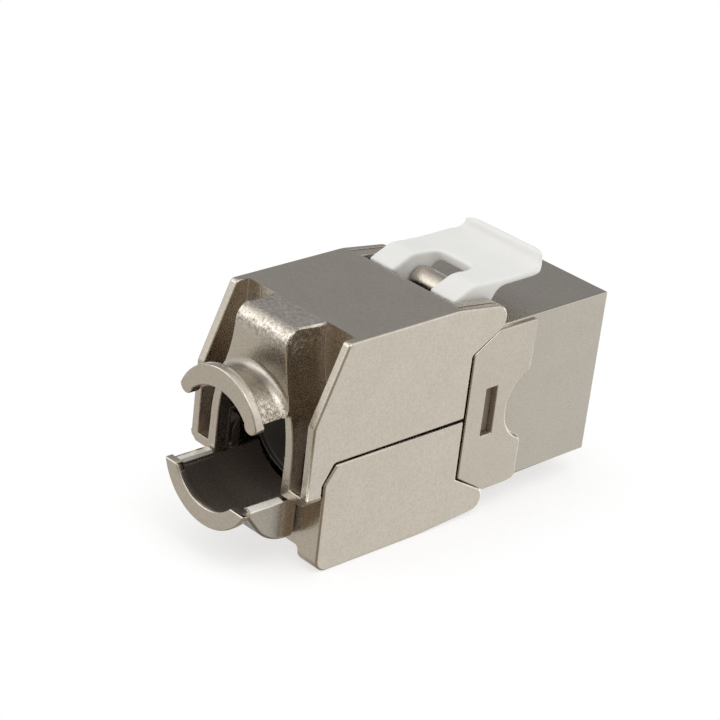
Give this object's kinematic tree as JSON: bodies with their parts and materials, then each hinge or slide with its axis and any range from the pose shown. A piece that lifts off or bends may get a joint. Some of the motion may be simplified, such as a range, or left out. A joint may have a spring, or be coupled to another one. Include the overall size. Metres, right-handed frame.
{
  "type": "shielded keystone jack",
  "caption": "Shielded tool-less keystone jack: die-cast front with a modular plug port, two hinged covers that close over the cable, and a white panel latch.",
  "frame": {"origin": "centre of the front face, on the axis of the plug port", "axes": "-Y out of the plug port, +Y towards the cable, +Z towards the panel latch, symmetric about x = 0 but for the ends of the cable lips and the trough's rim"},
  "size_m": [0.0152, 0.0402, 0.023],
  "materials": {
    "nickel_casting": "satin nickel plating over die-cast zinc",
    "white_latch": "satin moulded plastic",
    "steel_pin": "ground",
    "insert_plastic": "black moulded plastic",
    "board": "solder mask",
    "block_plastic": "moulded plastic",
    "manager_plastic": "moulded plastic",
    "spring_steel": "plated spring",
    "gold_contact": "gold plating",
    "blade_metal": "tin plating"
  },
  "bodies": {
    "base": {"front_housing": "nickel_casting", "upper_hinge_pin": "steel_pin", "lower_hinge_pin": "steel_pin", "jack_insert": "insert_plastic", "contact_sled": "insert_plastic", "circuit_board": "board", "idc_block": "block_plastic", "shield_spring_left": "spring_steel", "shield_spring_right": "spring_steel", "contact_1": "gold_contact", "contact_2": "gold_contact", "contact_3": "gold_contact", "contact_4": "gold_contact", "contact_5": "gold_contact", "contact_6": "gold_contact", "contact_7": "gold_contact", "contact_8": "gold_contact", "idc_blade_1": "blade_metal", "idc_blade_2": "blade_metal", "idc_blade_3": "blade_metal", "idc_blade_4": "blade_metal", "idc_blade_5": "blade_metal", "idc_blade_6": "blade_metal", "idc_blade_7": "blade_metal", "idc_blade_8": "blade_metal"},
    "upper": {"upper_cover": "nickel_casting"},
    "lower": {"lower_cover": "nickel_casting"},
    "manager": {"wire_manager": "manager_plastic"},
    "latch": {"panel_latch": "white_latch"}
  },
  "joints": [
    {"name": "upper_open", "type": "hinge", "parent": "base", "child": "upper", "pos_m": [0, 0.01503, 0.00887], "axis": [1, 0, 0], "range_deg": [0, 60]},
    {"name": "lower_open", "type": "hinge", "parent": "base", "child": "lower", "pos_m": [0, 0.0149, -0.00895], "axis": [-1, 0, 0], "range_deg": [0, 60]},
    {"name": "manager_slide", "type": "slide", "parent": "base", "child": "manager", "axis": [0, 1, 0], "range_m": [0, 0.0045]},
    {"name": "latch_press", "type": "hinge", "parent": "base", "child": "latch", "pos_m": [0, 0.01503, 0.00887], "axis": [1, 0, 0], "range_deg": [0, 10], "stiffness_Nm_per_rad": 0.3}
  ],
  "couplings": [
    {"joint": "lower_open", "follows": "upper_open", "ratio": 1},
    {"joint": "manager_slide", "follows": "upper_open", "m_per_rad": 0.0042929}
  ]
}
